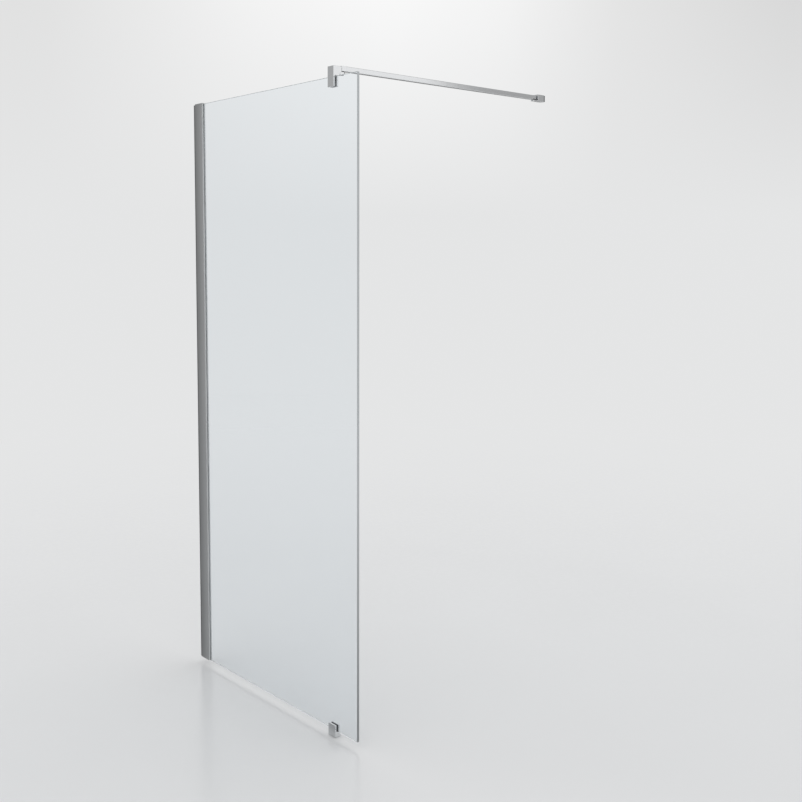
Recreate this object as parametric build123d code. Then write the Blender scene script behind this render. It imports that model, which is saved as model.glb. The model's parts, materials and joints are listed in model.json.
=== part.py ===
from build123d import *
import os

# Fixed shower screen: one sheet of 8 mm glass held at the wall by a two-part aluminium
# extrusion, at its free end by a foot, and at the top by a clamp and a square support bar
# that swivels at both ends and is screwed to the wall across the shower.
#
# All sizes are millimetres. X runs across the glass and is zero on its middle plane, with
# the shower and the support bar on the +X side. Y is zero on the wall that carries the
# glass, and the glass runs towards -Y. Z is zero at the lower edge of the glass.

os.makedirs("parts", exist_ok=True)

# The glass
screen_width = 900.0  # from the wall to the free edge
glass_height = 1950.0
glass_thickness = 8.0
glass_arris = 0.8  # ground chamfer along every edge
floor_gap = 20.0  # from the shower floor up to the glass

# The wall channel, an open U that is screwed to the wall
channel_depth = 28.0
channel_width = 14.0
channel_web = 2.0
channel_side = 1.6
channel_top_gap = 1.0  # the channel ends this far under the cap
wall_hole_radius = 2.5
wall_hole_margin = 75.0  # from each end of the glass to the nearest hole
wall_hole_count = 4

# The glazing profile, which slides over the channel and holds the glass
profile_back = 10.0  # distance of its rear edge from the wall
profile_front = 56.0  # distance of its front edge from the wall
profile_side = 1.6
profile_slip = 0.4  # side clearance on the channel
profile_web = 1.6
profile_corner = 1.0
glass_pocket = 16.0  # from the cross web to the front edge
lip_depth = 1.2
lip_height = 1.2
adjust_travel = 8.0  # width adjustment each way

# Packers and seals between the glass and the profile
packer_thickness = 2.0
packer_length = 40.0
packer_width = 6.0
packer_count = 3
seal_back_gap = 1.0
seal_nose = 1.2
seal_fit = 0.1

# Locking screws that fix the profile to the channel
lock_margin = 150.0  # from each end of the glass to the nearest screw
lock_count = 3
lock_setback = 14.5  # distance of the screws from the wall
lock_screw_radius = 1.75
lock_slot_height = 4.6
lock_slot_spare = 0.55
lock_head_radius = 3.5
lock_head_height = 2.0
lock_nut_size = 8.0
lock_nut_thickness = 2.5
lock_nut_gap = 0.1
lock_cap_radius = 5.5
lock_cap_wall = 0.8
lock_cap_gap = 0.2

# Cap on top of the profile
cap_thickness = 2.0
cap_tongue_depth = 10.0
cap_tongue_length = 7.0
cap_tongue_width = 9.0

# What the clamp and the foot share
grip_setback = 115.0  # from the free edge of the glass to their middle
pad_thickness = 1.5
plate_thickness = 1.0
outer_leg = 5.5
inner_leg = 4.5
pad_margin = 2.0
grub_radius = 2.5
grub_fit = 0.02
grub_sink = 0.3  # how far a grub screw stays under the face around it
touch_gap = 0.05

# The clamp on the top edge of the glass
clamp_width = 28.0
clamp_grip = 30.0  # how far its legs reach down the glass
clamp_corner = 1.0
clamp_edge = 0.8
head_height = 29.0  # from the glass up to the top of the clamp
head_reach = 19.0  # from the glass plane to the face at the swivel
head_slope = 8.0  # slanted underside beside the lower eye
clamp_grub_drop = 15.0
clamp_grub_spread = 14.0

# The foot
foot_width = 34.0
foot_grip = 19.0  # how far its legs reach up the glass
foot_corner = 0.8
foot_edge = 0.6
foot_floor_pad_thickness = 1.0
foot_floor_pad_margin = 2.0
foot_grub_rise = 10.0
foot_grub_spread = 18.0

# The support bar, a square tube
wall_distance = 900.0  # from the glass plane to the wall across the shower
bar_rise = 25.0  # from the top of the glass to the bar's axis
bar_size = 15.0
bar_wall = 1.2
bar_corner = 1.5
plug_fit = 0.1
plug_length = 22.0
plug_corner = 0.6
bar_grub_radius = 2.0
bar_grub_length = 4.2
bar_grub_inset = 11.0

# The swivel at each end of the bar
eye_radius = 9.0
eye_gap = 3.0  # from an eye to the face beside it
eye_edge = 0.5
neck_length = 12.0  # from the swivel's axis to the end of the tube
neck_step_gap = 1.0
swivel_shank_radius = 2.5
swivel_head_radius = 4.0
swivel_head_height = 2.0
swivel_thread_depth = 8.0
swivel_head_room = 0.3
running_gap = 0.06
glass_eye_floor = 7.5  # underside of the bar's eye below the bar's axis, at the clamp
glass_washer_thickness = 2.5
glass_washer_radius = 6.0
glass_lower_eye = 9.0
wall_eye_floor = 4.75  # the same at the wall
wall_washer_thickness = 3.0
wall_washer_radius = 8.6

# The bracket on the wall across the shower
bracket_length = 36.0
bracket_width = 20.0
bracket_height = 23.0
bracket_corner = 1.5
base_thickness = 6.5
base_recess = 1.0  # how far the base stays inside the body's outline
boss_length = 12.5
boss_wall = 3.0
boss_wall_below = 4.0
boss_fit = 0.2
boss_end_gap = 1.0
bracket_hole_radius = 2.25
countersink_radius = 4.5

# Hexagon sockets in the screws
socket_share = 0.5
socket_depth = 1.5

half_glass = glass_thickness / 2
free_edge = -screen_width
grip_y = free_edge + grip_setback
profile_half_inner = channel_width / 2 + profile_slip
profile_half = profile_half_inner + profile_side
web_front = -profile_front + glass_pocket
web_back = web_front + profile_web
glass_back = web_front - packer_thickness
slot_outer = -half_glass - pad_thickness
slot_inner = half_glass + pad_thickness + plate_thickness
grip_outer = slot_outer - outer_leg
grip_inner = slot_inner + inner_leg
bar_z = glass_height + bar_rise
half_bar = bar_size / 2
clamp_pivot = head_reach + eye_gap + eye_radius
bracket_face = wall_distance - bracket_length
wall_pivot = bracket_face - eye_gap - eye_radius
tube_start = clamp_pivot + neck_length
tube_end = wall_pivot - neck_length


def block(x_range, y_range, z_range):
    """A box between two values along each axis, in either order."""
    spans = [sorted(r) for r in (x_range, y_range, z_range)]
    middle = [(low + high) / 2 for low, high in spans]
    return Pos(*middle) * Box(*[high - low for low, high in spans])


def rod(start, end, radius, axis="Z"):
    """A round rod between two points that differ along one axis."""
    turn = {"X": Rot(0, 90, 0), "Y": Rot(90, 0, 0), "Z": Rot(0, 0, 0)}[axis]
    middle = [(a + b) / 2 for a, b in zip(start, end)]
    length = sum(abs(b - a) for a, b in zip(start, end))
    return Pos(*middle) * turn * Cylinder(radius, length)


def rounded_plan(x_range, y_range, z_range, radius):
    """A box whose upright edges are rounded."""
    body = block(x_range, y_range, z_range)
    return fillet(body.edges().filter_by(Axis.Z), radius)


def side_prism(points, y_range):
    """An outline in the XZ plane carried along Y."""
    low, high = sorted(y_range)
    plane = Plane((0, high, 0), x_dir=(1, 0, 0), z_dir=(0, -1, 0))
    return extrude(plane * make_face(Polyline(*points, close=True)), amount=high - low)


def hex_socket(tip, direction, radius):
    """The six-sided hole in a screw's end, cut inwards from its face."""
    plane = Plane(tip, z_dir=direction)
    return extrude(plane * RegularPolygon(radius * socket_share, 6), amount=socket_depth)


def grub_screw(face_point, direction, length, radius):
    """A headless screw that starts at a face point and runs along a direction."""
    plane = Plane(face_point, z_dir=direction)
    body = extrude(plane * Circle(radius), amount=length)
    return body - hex_socket(face_point, direction, radius)


def save(shape, name):
    """Writes one node, as one solid or a group of separate solids."""
    shape.label = name
    export_step(shape, f"parts/{name}.step")


def save_group(shapes, name):
    """Writes several separate solids as one node."""
    save(Compound(children=[s.solid() for s in shapes]), name)


def wall_channel():
    """The U that is screwed to the wall: web on the wall, two sides, holes and slots."""
    top = glass_height - channel_top_gap
    half = channel_width / 2
    body = block((-half, half), (0, -channel_depth), (0, top))
    inner = half - channel_side
    body -= block((-inner, inner), (-channel_web, -channel_depth), (0, top))
    for z in even_heights(wall_hole_margin, wall_hole_count):
        body -= rod((0, 0, z), (0, -channel_web, z), wall_hole_radius, "Y")
    slot_length = 2 * (adjust_travel + lock_screw_radius + lock_slot_spare)
    for z in even_heights(lock_margin, lock_count):
        plane = Plane((inner, -lock_setback, z), x_dir=(0, 1, 0), z_dir=(1, 0, 0))
        body -= extrude(plane * SlotOverall(slot_length, lock_slot_height), amount=channel_side)
    return body


def even_heights(margin, count):
    """Heights spread evenly up the glass, the outer two a margin from its ends."""
    step = (glass_height - 2 * margin) / (count - 1)
    return [margin + i * step for i in range(count)]


def glass_profile():
    """The H section that covers the channel and holds the edge of the glass."""
    outer = Pos(0, -(profile_back + profile_front) / 2) * RectangleRounded(
        2 * profile_half, profile_front - profile_back, profile_corner
    )
    inner_width = 2 * profile_half_inner
    rear_depth = -web_back - profile_back
    rear = Pos(0, -profile_back - rear_depth / 2) * Rectangle(inner_width, rear_depth)
    pocket_depth = glass_pocket - lip_height
    pocket = Pos(0, web_front - pocket_depth / 2) * Rectangle(inner_width, pocket_depth)
    mouth = Pos(0, -profile_front + lip_height / 2) * Rectangle(
        inner_width - 2 * lip_depth, lip_height
    )
    body = extrude(outer - rear - pocket - mouth, amount=glass_height)
    for z in even_heights(lock_margin, lock_count):
        start = (profile_half_inner, -lock_setback, z)
        end = (profile_half, -lock_setback, z)
        body -= rod(start, end, lock_screw_radius + grub_fit, "X")
    return body


def profile_cap():
    """The cap on the profile, with a tongue that drops in behind the cross web."""
    plate = Pos(0, -(profile_back + profile_front) / 2) * RectangleRounded(
        2 * profile_half, profile_front - profile_back, profile_corner
    )
    body = Pos(0, 0, glass_height) * extrude(plate, amount=cap_thickness)
    top_edges = body.faces().sort_by(Axis.Z)[-1].edges()
    body = chamfer(top_edges, cap_thickness / 4)
    half = cap_tongue_width / 2
    tongue_y = (web_back, web_back + cap_tongue_length)
    body += block((-half, half), tongue_y, (glass_height - cap_tongue_depth, glass_height))
    return body


def glazing_seal(side):
    """The gasket on one face of the glass, with a nose that laps over the profile's lip."""
    inner = half_glass
    outer = profile_half_inner - seal_fit
    nose = outer - lip_depth
    lip_back = -profile_front + lip_height + seal_fit
    points = [
        (inner, glass_back - seal_back_gap),
        (outer, glass_back - seal_back_gap),
        (outer, lip_back),
        (nose, lip_back),
        (nose, -profile_front),
        (inner + seal_fit, -profile_front - seal_nose),
        (inner, -profile_front - seal_nose),
    ]
    outline = make_face(Polyline(*[(side * x, y) for x, y in points], close=True))
    return extrude(outline, amount=glass_height, dir=(0, 0, 1))


def edge_packers():
    """Short plastic packers between the cross web and the edge of the glass."""
    half = packer_width / 2
    pieces = []
    for z in even_heights(lock_margin, packer_count):
        spans = (z - packer_length / 2, z + packer_length / 2)
        pieces.append(block((-half, half), (web_front, glass_back), spans))
    return pieces


def lock_screws():
    """Screws through the profile's shower side into the nuts inside the channel."""
    pieces = []
    inner = channel_width / 2 - channel_side - lock_nut_gap - lock_nut_thickness
    for z in even_heights(lock_margin, lock_count):
        head_start = (profile_half, -lock_setback, z)
        head_end = (profile_half + lock_head_height, -lock_setback, z)
        screw = rod(head_start, head_end, lock_head_radius, "X")
        screw += rod((inner, -lock_setback, z), head_start, lock_screw_radius, "X")
        pieces.append(screw - hex_socket(head_end, (-1, 0, 0), lock_head_radius))
    return pieces


def lock_nuts():
    """Square nuts that draw the screws tight against the inside of the channel."""
    outer = channel_width / 2 - channel_side - lock_nut_gap
    half = lock_nut_size / 2
    pieces = []
    for z in even_heights(lock_margin, lock_count):
        x_range = (outer - lock_nut_thickness, outer)
        nut = block(x_range, (-lock_setback - half, -lock_setback + half), (z - half, z + half))
        bore = lock_screw_radius + grub_fit
        nut -= rod((x_range[0], -lock_setback, z), (outer, -lock_setback, z), bore, "X")
        pieces.append(nut)
    return pieces


def lock_screw_caps():
    """Round snap caps over the locking screws' heads."""
    height = lock_head_height + lock_cap_gap + lock_cap_wall
    pieces = []
    for z in even_heights(lock_margin, lock_count):
        base = (profile_half, -lock_setback, z)
        top = (profile_half + height, -lock_setback, z)
        roof = (profile_half + height - lock_cap_wall, -lock_setback, z)
        cap = rod(base, top, lock_cap_radius, "X")
        cap = fillet(cap.edges().sort_by(Axis.X)[-1], lock_cap_wall / 2)
        pieces.append(cap - rod(base, roof, lock_head_radius + lock_cap_gap, "X"))
    return pieces


def glass_panel():
    """The sheet of toughened glass with ground edges."""
    body = block((-half_glass, half_glass), (glass_back, free_edge), (0, glass_height))
    return chamfer(body.edges(), glass_arris)


def grip_span(width):
    """The stretch along the glass that a fitting of this width covers."""
    return (grip_y - width / 2, grip_y + width / 2)


def grub_holes(spread, z, radius, fit):
    """Two holes through the inner leg, for the screws that press on the plate."""
    holes = []
    for side in (-1, 1):
        y = grip_y + side * spread / 2
        holes.append(rod((slot_inner, y, z), (grip_inner, y, z), radius + fit, "X"))
    return holes


def grub_pair(spread, z):
    """The two set screws that press on the plate."""
    length = inner_leg - grub_sink - touch_gap
    pieces = []
    for side in (-1, 1):
        start = (grip_inner - grub_sink, grip_y + side * spread / 2, z)
        pieces.append(grub_screw(start, (-1, 0, 0), length, grub_radius))
    return pieces


def grip_pads(width, z_range):
    """The outer pad, inner pad and pressure plate of a clamp or foot."""
    y_range = grip_span(width - 2 * pad_margin)
    outer = block((slot_outer, -half_glass), y_range, z_range)
    inner = block((half_glass, half_glass + pad_thickness), y_range, z_range)
    plate = block((half_glass + pad_thickness, slot_inner), y_range, z_range)
    return outer, inner, plate


def edge_pad(width, z_range):
    """The pad between the edge of the glass and the bottom of the slot."""
    return block((slot_outer, slot_inner), grip_span(width - 2 * pad_margin), z_range)


def lower_eye(pivot, face, floor, top):
    """The fixed eye of a swivel: round end, neck to its block, bore and counterbore."""
    eye = rod((pivot, grip_y, floor), (pivot, grip_y, top), eye_radius)
    neck = (grip_y - eye_radius, grip_y + eye_radius)
    return eye + block((pivot, face), neck, (floor, top))


def eye_bore(pivot, floor, top):
    """The hole and the recess for the head that a swivel's screw needs in its lower eye."""
    recess = swivel_head_height + swivel_head_room
    bore = rod((pivot, grip_y, floor), (pivot, grip_y, top), swivel_shank_radius + running_gap)
    head_radius = swivel_head_radius + swivel_head_room
    return bore + rod((pivot, grip_y, floor), (pivot, grip_y, floor + recess), head_radius)


def clamp_body():
    """The clamp: two legs over the glass, a head above it and the swivel's lower eye."""
    top = glass_height + head_height
    y_range = grip_span(clamp_width)
    leg_floor = glass_height - clamp_grip
    legs = rounded_plan(
        (grip_outer, grip_inner), y_range, (leg_floor, glass_height + head_slope), clamp_corner
    )
    slope_floor = bar_z - glass_eye_floor - glass_washer_thickness - glass_lower_eye
    outline = [
        (grip_outer, glass_height),
        (grip_inner, slope_floor),
        (head_reach, slope_floor + head_slope),
        (head_reach, top),
        (grip_outer, top),
    ]
    head = side_prism(outline, y_range)
    head &= rounded_plan((grip_outer, head_reach), y_range, (glass_height, top), clamp_corner)
    head = fillet(head.faces().sort_by(Axis.Z)[-1].edges(), clamp_edge)
    eye_top = slope_floor + glass_lower_eye
    body = legs + head + lower_eye(clamp_pivot, grip_inner, slope_floor, eye_top)
    slot_top = glass_height + pad_thickness
    body -= block((slot_outer, slot_inner), y_range, (leg_floor, slot_top))
    for hole in grub_holes(
        clamp_grub_spread, glass_height - clamp_grub_drop, grub_radius, grub_fit
    ):
        body -= hole
    return body - eye_bore(clamp_pivot, slope_floor, eye_top)


def foot_body():
    """The foot: a base on the floor and two legs up the glass."""
    base = -floor_gap + foot_floor_pad_thickness
    y_range = grip_span(foot_width)
    body = rounded_plan((grip_outer, grip_inner), y_range, (base, foot_grip), foot_corner)
    body -= block((slot_outer, slot_inner), y_range, (-pad_thickness, foot_grip))
    leg_tops = body.faces().filter_by(Axis.Z).group_by(Axis.Z)[-1]
    body = chamfer(leg_tops.edges(), foot_edge)
    for hole in grub_holes(foot_grub_spread, foot_grub_rise, grub_radius, grub_fit):
        body -= hole
    return body


def foot_floor_pad():
    """The adhesive pad that holds the foot on the floor."""
    x_range = (grip_outer + foot_floor_pad_margin, grip_inner - foot_floor_pad_margin)
    y_range = grip_span(foot_width - 2 * foot_floor_pad_margin)
    return block(x_range, y_range, (-floor_gap, -floor_gap + foot_floor_pad_thickness))


def bar_tube():
    """The square tube, with a hole at each end for its set screw."""
    plane = Plane((tube_start, grip_y, bar_z), x_dir=(0, 1, 0), z_dir=(1, 0, 0))
    inner = bar_size - 2 * bar_wall
    section = RectangleRounded(bar_size, bar_size, bar_corner)
    section -= RectangleRounded(inner, inner, max(bar_corner - bar_wall, 0.1))
    body = extrude(plane * section, amount=tube_end - tube_start)
    for x in bar_grub_places():
        start = (x, grip_y, bar_z - half_bar)
        end = (x, grip_y, bar_z - half_bar + bar_wall)
        body -= rod(start, end, bar_grub_radius + grub_fit)
    return body


def bar_grub_places():
    """Where the set screws sit along the bar."""
    return (tube_start + bar_grub_inset, tube_end - bar_grub_inset)


def bar_end(pivot, direction, eye_floor):
    """The fitting in one end of the bar: upper eye, neck, and a plug inside the tube."""
    eye = rod((pivot, grip_y, bar_z - eye_floor), (pivot, grip_y, bar_z + half_bar), eye_radius)
    width = (grip_y - half_bar, grip_y + half_bar)
    shoulder = pivot + direction * neck_length
    raised = block((pivot, shoulder), width, (bar_z - eye_floor, bar_z + half_bar))
    step = pivot + direction * (eye_radius + neck_step_gap)
    full = block((step, shoulder), width, (bar_z - half_bar, bar_z + half_bar))
    body = eye + raised + full
    plane = Plane((shoulder, grip_y, bar_z), x_dir=(0, 1, 0), z_dir=(direction, 0, 0))
    plug = bar_size - 2 * bar_wall - 2 * plug_fit
    body += extrude(plane * RectangleRounded(plug, plug, plug_corner), amount=plug_length)
    thread_top = bar_z - eye_floor + swivel_thread_depth + swivel_head_room
    floor = (pivot, grip_y, bar_z - eye_floor)
    body -= rod(floor, (pivot, grip_y, thread_top), swivel_shank_radius + grub_fit)
    x = shoulder + direction * bar_grub_inset
    hole_top = bar_z - half_bar + grub_sink + bar_grub_length
    body -= rod((x, grip_y, bar_z - half_bar), (x, grip_y, hole_top), bar_grub_radius + grub_fit)
    return body


def bar_set_screws():
    """The set screws under the bar that lock the fittings in the tube."""
    face = bar_z - half_bar + grub_sink
    length = bar_grub_length - touch_gap
    places = [(x, grip_y, face) for x in bar_grub_places()]
    return [grub_screw(place, (0, 0, 1), length, bar_grub_radius) for place in places]


def swivel_screw(pivot, eye_floor, washer_thickness, lower_thickness):
    """The shoulder screw of a swivel, put in from below and threaded into the upper eye."""
    lower_floor = bar_z - eye_floor - washer_thickness - lower_thickness
    head_floor = lower_floor + swivel_head_room - running_gap
    head_top = head_floor + swivel_head_height
    shank_top = bar_z - eye_floor + swivel_thread_depth
    body = rod((pivot, grip_y, head_floor), (pivot, grip_y, head_top), swivel_head_radius)
    body += rod((pivot, grip_y, head_top), (pivot, grip_y, shank_top), swivel_shank_radius)
    return body - hex_socket((pivot, grip_y, head_floor), (0, 0, 1), swivel_head_radius)


def swivel_washer(pivot, eye_floor, thickness, radius):
    """The plastic washer between the two eyes of a swivel."""
    bottom = (pivot, grip_y, bar_z - eye_floor - thickness)
    top = (pivot, grip_y, bar_z - eye_floor - running_gap)
    return rod(bottom, top, radius) - rod(bottom, top, swivel_shank_radius + running_gap)


def bracket_body():
    """The bracket's body: a hollow block over the base, with the swivel's lower eye."""
    half = bracket_width / 2
    rise = bracket_height / 2
    back = wall_distance - base_thickness
    y_range = (grip_y - half, grip_y + half)
    body = block((bracket_face, back), y_range, (bar_z - rise, bar_z + rise))
    body = fillet(body.edges().filter_by(Axis.X), bracket_corner)
    body = fillet(body.faces().sort_by(Axis.X)[0].edges(), bracket_corner / 2)
    cavity_half = half - boss_wall
    cavity_floor = bar_z - rise + boss_wall_below
    cavity_top = bar_z + rise - boss_wall_below
    cavity_front = back - boss_length - boss_end_gap
    cavity_y = (grip_y - cavity_half, grip_y + cavity_half)
    body -= block((cavity_front, back), cavity_y, (cavity_floor, cavity_top))
    eye_top = bar_z - wall_eye_floor - wall_washer_thickness
    joint = bracket_face + bracket_corner
    body += lower_eye(wall_pivot, joint, bar_z - rise, eye_top)
    x = bracket_grub_place()
    body -= rod((x, grip_y, bar_z - rise), (x, grip_y, cavity_floor), bar_grub_radius + grub_fit)
    return body - eye_bore(wall_pivot, bar_z - rise, eye_top)


def bracket_grub_place():
    """Where the bracket's set screw meets the boss."""
    return wall_distance - base_thickness - boss_length / 2


def bracket_base():
    """The base on the wall: a plate, and a boss inside the body with the screw's hole."""
    half = bracket_width / 2
    rise = bracket_height / 2
    front = wall_distance - base_thickness
    plate_y = (grip_y - half + base_recess, grip_y + half - base_recess)
    plate_z = (bar_z - rise + base_recess, bar_z + rise - base_recess)
    body = block((front, wall_distance), plate_y, plate_z)
    boss_half = half - boss_wall - boss_fit
    boss_rise = rise - boss_wall_below - boss_fit
    tip = front - boss_length
    boss_y = (grip_y - boss_half, grip_y + boss_half)
    body += block((tip, front), boss_y, (bar_z - boss_rise, bar_z + boss_rise))
    body -= rod((tip, grip_y, bar_z), (wall_distance, grip_y, bar_z), bracket_hole_radius, "X")
    sink = countersink_radius - bracket_hole_radius
    cone = Cone(countersink_radius, bracket_hole_radius, sink)
    return body - Pos(tip + sink / 2, grip_y, bar_z) * Rot(0, 90, 0) * cone


def bracket_set_screw():
    """The set screw under the bracket that locks its body on the base."""
    face = bar_z - bracket_height / 2 + grub_sink
    length = boss_wall_below + boss_fit - grub_sink - touch_gap
    place = (bracket_grub_place(), grip_y, face)
    return grub_screw(place, (0, 0, 1), length, bar_grub_radius)


save(wall_channel(), "wall_channel")
save(glass_profile(), "glass_profile")
save(profile_cap(), "profile_cap")
save(glazing_seal(-1), "outer_glazing_seal")
save(glazing_seal(1), "inner_glazing_seal")
save_group(edge_packers(), "edge_packers")
save_group(lock_screws(), "lock_screws")
save_group(lock_nuts(), "lock_nuts")
save_group(lock_screw_caps(), "lock_screw_caps")
save(glass_panel(), "glass_panel")

clamp_pads = grip_pads(clamp_width, (glass_height - clamp_grip + pad_margin, glass_height))
save(clamp_body(), "clamp_body")
save(clamp_pads[0], "clamp_outer_pad")
save(clamp_pads[1], "clamp_inner_pad")
save(clamp_pads[2], "clamp_pressure_plate")
save(edge_pad(clamp_width, (glass_height, glass_height + pad_thickness)), "clamp_edge_pad")
save_group(grub_pair(clamp_grub_spread, glass_height - clamp_grub_drop), "clamp_set_screws")

foot_pads = grip_pads(foot_width, (0, foot_grip - pad_margin))
save(foot_body(), "foot_body")
save(foot_pads[0], "foot_outer_pad")
save(foot_pads[1], "foot_inner_pad")
save(foot_pads[2], "foot_pressure_plate")
save(edge_pad(foot_width, (-pad_thickness, 0)), "foot_edge_pad")
save_group(grub_pair(foot_grub_spread, foot_grub_rise), "foot_set_screws")
save(foot_floor_pad(), "foot_floor_pad")

save(bar_tube(), "bar_tube")
save(bar_end(clamp_pivot, 1, glass_eye_floor), "bar_end_glass")
save(bar_end(wall_pivot, -1, wall_eye_floor), "bar_end_wall")
save_group(bar_set_screws(), "bar_set_screws")
save(
    swivel_washer(clamp_pivot, glass_eye_floor, glass_washer_thickness, glass_washer_radius),
    "glass_swivel_washer",
)
save(
    swivel_washer(wall_pivot, wall_eye_floor, wall_washer_thickness, wall_washer_radius),
    "wall_swivel_washer",
)
glass_screw = swivel_screw(clamp_pivot, glass_eye_floor, glass_washer_thickness, glass_lower_eye)
save(glass_screw, "glass_swivel_screw")
wall_lower_eye = bracket_height / 2 - wall_eye_floor - wall_washer_thickness
wall_screw = swivel_screw(wall_pivot, wall_eye_floor, wall_washer_thickness, wall_lower_eye)
save(wall_screw, "wall_swivel_screw")

save(bracket_body(), "bracket_body")
save(bracket_base(), "bracket_base")
save(bracket_set_screw(), "bracket_set_screw")
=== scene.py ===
import json
import math

import bmesh
import bpy
import numpy as np
from mathutils import Matrix


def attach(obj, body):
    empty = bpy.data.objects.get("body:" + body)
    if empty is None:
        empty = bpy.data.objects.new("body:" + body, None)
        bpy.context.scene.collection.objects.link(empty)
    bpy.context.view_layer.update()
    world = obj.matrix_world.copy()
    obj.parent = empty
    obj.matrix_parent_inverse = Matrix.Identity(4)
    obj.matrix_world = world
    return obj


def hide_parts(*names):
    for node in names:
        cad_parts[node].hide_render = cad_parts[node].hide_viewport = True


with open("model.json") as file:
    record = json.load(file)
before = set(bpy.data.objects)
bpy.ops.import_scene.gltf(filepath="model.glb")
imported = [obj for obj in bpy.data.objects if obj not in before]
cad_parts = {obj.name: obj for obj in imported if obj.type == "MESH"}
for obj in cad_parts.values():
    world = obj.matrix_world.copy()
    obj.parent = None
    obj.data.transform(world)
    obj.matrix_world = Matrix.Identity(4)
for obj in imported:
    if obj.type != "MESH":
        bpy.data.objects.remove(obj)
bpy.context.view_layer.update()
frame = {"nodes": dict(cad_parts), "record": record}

# Fixed shower screen: a sheet of clear glass in a wall profile, with a foot on the floor and
# a clamp on its top edge that carries a square bar to the wall across the shower.
# Blender works in metres. The sizes of the pieces are in millimetres, and MM turns them.
MM = 0.001


# Camera, at the photograph's viewing angle

PICTURE_SIZE = 802
SENSOR = 36.0
FOCAL_PIXELS = 1052.0
CAMERA_PLACE = (-1.8682, -3.2524, 1.4314)
CAMERA_YAW = math.radians(49.210)
CAMERA_TILT = math.radians(5.175)
CAMERA_ROLL = math.radians(0.226)
CAMERA_SHIFT = -0.06


def add_camera():
    """The view from the front left, turned by yaw, tipped down by tilt and turned by roll."""
    data = bpy.data.cameras.new("camera")
    data.sensor_width = SENSOR
    data.lens = FOCAL_PIXELS / PICTURE_SIZE * SENSOR
    data.shift_y = CAMERA_SHIFT
    data.clip_start = 0.05
    data.clip_end = 60.0
    yaw, tilt = CAMERA_YAW, CAMERA_TILT
    forward = np.array([
        math.cos(yaw) * math.cos(tilt), math.sin(yaw) * math.cos(tilt), -math.sin(tilt)
    ])
    level = np.array([math.sin(yaw), -math.cos(yaw), 0.0])
    above = np.cross(level, forward)
    right = math.cos(CAMERA_ROLL) * level + math.sin(CAMERA_ROLL) * above
    up = math.cos(CAMERA_ROLL) * above - math.sin(CAMERA_ROLL) * level
    rows = np.eye(4)
    rows[:3, 0], rows[:3, 1], rows[:3, 2], rows[:3, 3] = right, up, -forward, CAMERA_PLACE
    camera = bpy.data.objects.new("camera", data)
    camera.matrix_world = Matrix(rows.tolist())
    bpy.context.scene.collection.objects.link(camera)
    bpy.context.scene.camera = camera


# Shapes: every piece is a skin over rings of points that are worked out as whole arrays

HALF_TURN = math.pi
SHARP_ANGLE = math.radians(32)  # edges sharper than this stay sharp in the shading
FLAT_WEIGHT = 90  # how strongly flat faces set the shading beside a bevel
CORNER_STEPS = 5  # parts of each rounded corner
ROUND_POINTS = 48  # points of each circle
THREAD_PITCH = 0.8
THREAD_DEPTH = 0.3
BORE_EDGE = 0.25  # chamfer at both ends of a bore
SLACK = 0.01  # how exactly a ring of points has to lie on a mark
PIECE_BODY = {
    node: body
    for body, nodes in frame["record"]["behaviour"]["bodies"].items()
    for node in nodes
}
PIECE_SLOT = {part["node"]: part["material_slot"] for part in frame["record"]["subparts"]}


def place(axis, first, second, along):
    """Points in metres from an outline's two values and the distance along an axis, in mm."""
    along = np.broadcast_to(along, np.shape(first))
    values = {
        "X": (along, first, second), "Y": (first, along, second), "Z": (first, second, along)
    }[axis]
    return np.stack(values, axis=-1) * MM


def outline(corners, radii, inset=0.0, marks=None):
    """A closed outline whose corners are arcs, shrunk by an inset.

    A corner's arc has its centre inside a convex corner and outside a hollow one. Its points
    are the centre plus the radius less the inset, along a direction that turns from the
    outward normal of one side to that of the next. marks adds points on a side, at given
    distances from the corner where it starts.
    """
    corners = np.asarray(corners, float)
    radii = np.broadcast_to(np.asarray(radii, float), len(corners))
    after = np.roll(corners, -1, axis=0)
    if np.sum(corners[:, 0] * after[:, 1] - corners[:, 1] * after[:, 0]) < 0:
        corners, radii = corners[::-1], radii[::-1]
        after = np.roll(corners, -1, axis=0)
    ahead = after - corners
    ahead /= np.linalg.norm(ahead, axis=1)[:, None]
    behind = np.roll(ahead, 1, axis=0)
    normal = np.column_stack([behind[:, 1], -behind[:, 0]])
    next_normal = np.column_stack([ahead[:, 1], -ahead[:, 0]])
    cross = behind[:, 0] * ahead[:, 1] - behind[:, 1] * ahead[:, 0]
    turn = np.arctan2(cross, np.sum(behind * ahead, axis=1))
    signed = np.sign(turn) * radii
    reach = radii * np.tan(np.abs(turn) / 2)
    centre = corners - behind * reach[:, None] - normal * signed[:, None]
    angle = np.arctan2(normal[:, 1], normal[:, 0])[:, None]
    angle = angle + turn[:, None] * np.linspace(0, 1, CORNER_STEPS + 1)
    arcs = np.stack([np.cos(angle), np.sin(angle)], axis=-1)
    arcs = centre[:, None] + (signed - inset)[:, None, None] * arcs
    rows = []
    for side in range(len(corners)):
        rows.append(arcs[side])
        places = np.asarray((marks or {}).get(side, ()), float)[:, None]
        if len(places):
            rows.append(corners[side] + places * ahead[side] - inset * next_normal[side])
    return np.concatenate(rows)


def rectangle(middle, size):
    """The corners of a rectangle about a middle, counter-clockwise from the lower left."""
    half = np.array([(-1, -1), (1, -1), (1, 1), (-1, 1)]) * 0.5
    return np.asarray(middle) + half * np.asarray(size)


def rounded_rise(low, high, bevel, marks=(), steps=3):
    """Pairs of inset and height whose ends follow a quarter circle of the bevel's radius."""
    angle = np.linspace(0, HALF_TURN / 2, steps + 1)
    inset, lift = bevel * (1 - np.sin(angle)), bevel * (1 - np.cos(angle))
    start = list(zip(inset, low + lift))
    end = list(zip(inset, high - lift))[::-1]
    return start + [(0.0, height) for height in marks] + end


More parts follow.
